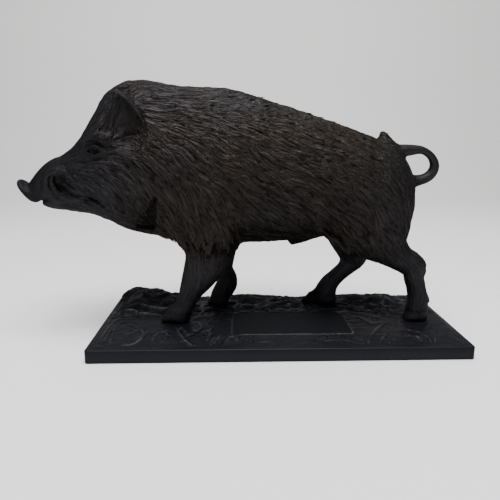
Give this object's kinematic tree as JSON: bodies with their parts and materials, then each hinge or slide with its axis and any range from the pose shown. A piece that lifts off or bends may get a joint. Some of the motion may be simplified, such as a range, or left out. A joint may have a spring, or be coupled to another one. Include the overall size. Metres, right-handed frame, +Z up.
{
  "type": "bronze boar sculpture",
  "caption": "Wild boar cast in dark patinated bronze, striding on a rectangular ground plinth that has a bare name-plate recess on its near side.",
  "frame": {"origin": "centre of the plinth's underside", "axes": "+Z up; the boar faces -X; its left flank and the name-plate recess are on the -Y side"},
  "size_m": [0.3689, 0.125, 0.2129],
  "materials": {
    "boar_patina": "near-black brown patina on bronze, satin, a little barer and brighter on the crests of the fur",
    "plinth_patina": "near-black patina on bronze, satin, slightly duller than the animal, brighter on the edges"
  },
  "bodies": {
    "root": {"boar": "boar_patina", "plinth": "plinth_patina"}
  },
  "joints": []
}
